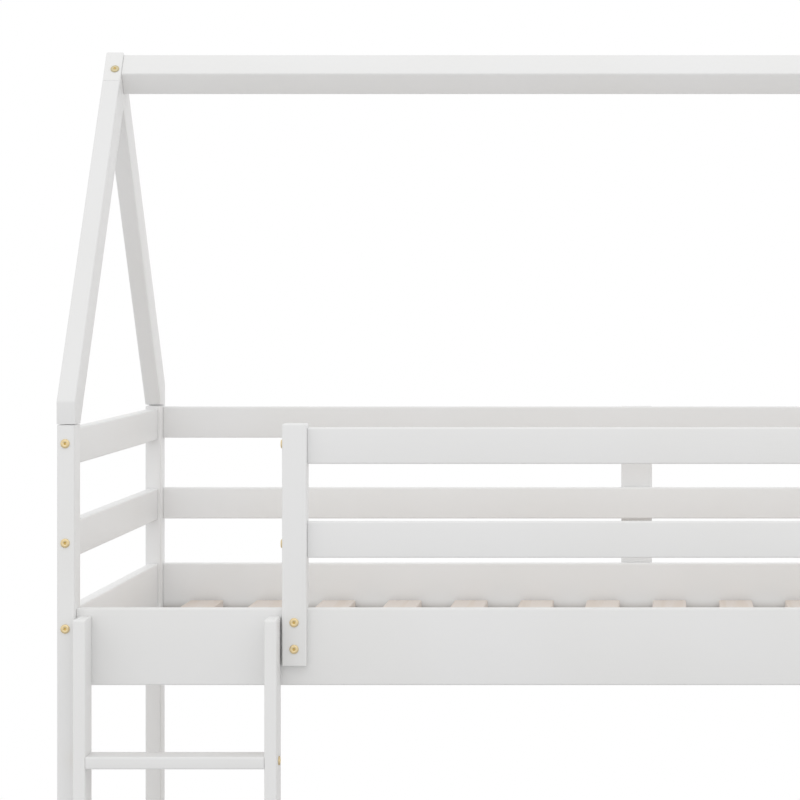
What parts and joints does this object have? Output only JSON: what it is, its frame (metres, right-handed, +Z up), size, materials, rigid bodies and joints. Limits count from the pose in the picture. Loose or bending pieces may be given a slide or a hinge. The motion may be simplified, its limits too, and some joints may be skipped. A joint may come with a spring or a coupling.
{
  "type": "house bunk bed",
  "caption": "House-shaped bunk bed in white painted pine: roof frame with ridge beam, guard rails, slatted bunks and a fixed upright ladder at one end of the front.",
  "frame": {"origin": "on the floor, under the centre of the bed's bounding box", "axes": "+X along the bed, towards the right end seen from the ladder side; +Y from the ladder side to the wall side; +Z up"},
  "size_m": [2.062, 1.0466, 2.3],
  "materials": {
    "painted_pine": "satin white paint over pine, eased edges",
    "natural_pine": "planed, uncoated pine",
    "bolts": "brass-coloured plated connector bolts"
  },
  "bodies": {
    "root": {"post_front_left": "painted_pine", "post_front_right": "painted_pine", "post_back_left": "painted_pine", "post_back_right": "painted_pine", "rafter_front_left": "painted_pine", "rafter_front_right": "painted_pine", "rafter_back_left": "painted_pine", "rafter_back_right": "painted_pine", "ridge_block_left": "painted_pine", "ridge_block_right": "painted_pine", "ridge_beam": "painted_pine", "upper_end_rail_top_left": "painted_pine", "upper_end_rail_middle_left": "painted_pine", "upper_end_board_left": "painted_pine", "lower_end_board_left": "painted_pine", "upper_end_rail_top_right": "painted_pine", "upper_end_rail_middle_right": "painted_pine", "upper_end_board_right": "painted_pine", "lower_end_board_right": "painted_pine", "upper_front_side_rail": "painted_pine", "upper_back_side_rail": "painted_pine", "back_rail_top": "painted_pine", "back_rail_middle": "painted_pine", "lower_front_side_rail": "painted_pine", "lower_back_side_rail": "painted_pine", "back_brace": "painted_pine", "guard_post": "painted_pine", "guard_rail_top": "painted_pine", "guard_rail_middle": "painted_pine", "ladder_stringer_left": "painted_pine", "ladder_stringer_right": "painted_pine", "ladder_rung_1": "painted_pine", "ladder_rung_2": "painted_pine", "ladder_rung_3": "painted_pine", "ladder_rung_4": "painted_pine", "upper_ledger_front": "painted_pine", "upper_ledger_back": "painted_pine", "lower_ledger_front": "painted_pine", "lower_ledger_back": "painted_pine", "upper_slat_01": "natural_pine", "upper_slat_02": "natural_pine", "upper_slat_03": "natural_pine", "upper_slat_04": "natural_pine", "upper_slat_05": "natural_pine", "upper_slat_06": "natural_pine", "upper_slat_07": "natural_pine", "upper_slat_08": "natural_pine", "upper_slat_09": "natural_pine", "upper_slat_10": "natural_pine", "upper_slat_11": "natural_pine", "upper_slat_12": "natural_pine", "upper_slat_13": "natural_pine", "upper_slat_14": "natural_pine", "lower_slat_mat": "natural_pine", "post_bolt_top": "bolts", "post_bolt_middle": "bolts", "post_bolt_bottom": "bolts", "guard_post_bolt_1": "bolts", "guard_post_bolt_2": "bolts", "ridge_bolt": "bolts"}
  },
  "joints": []
}
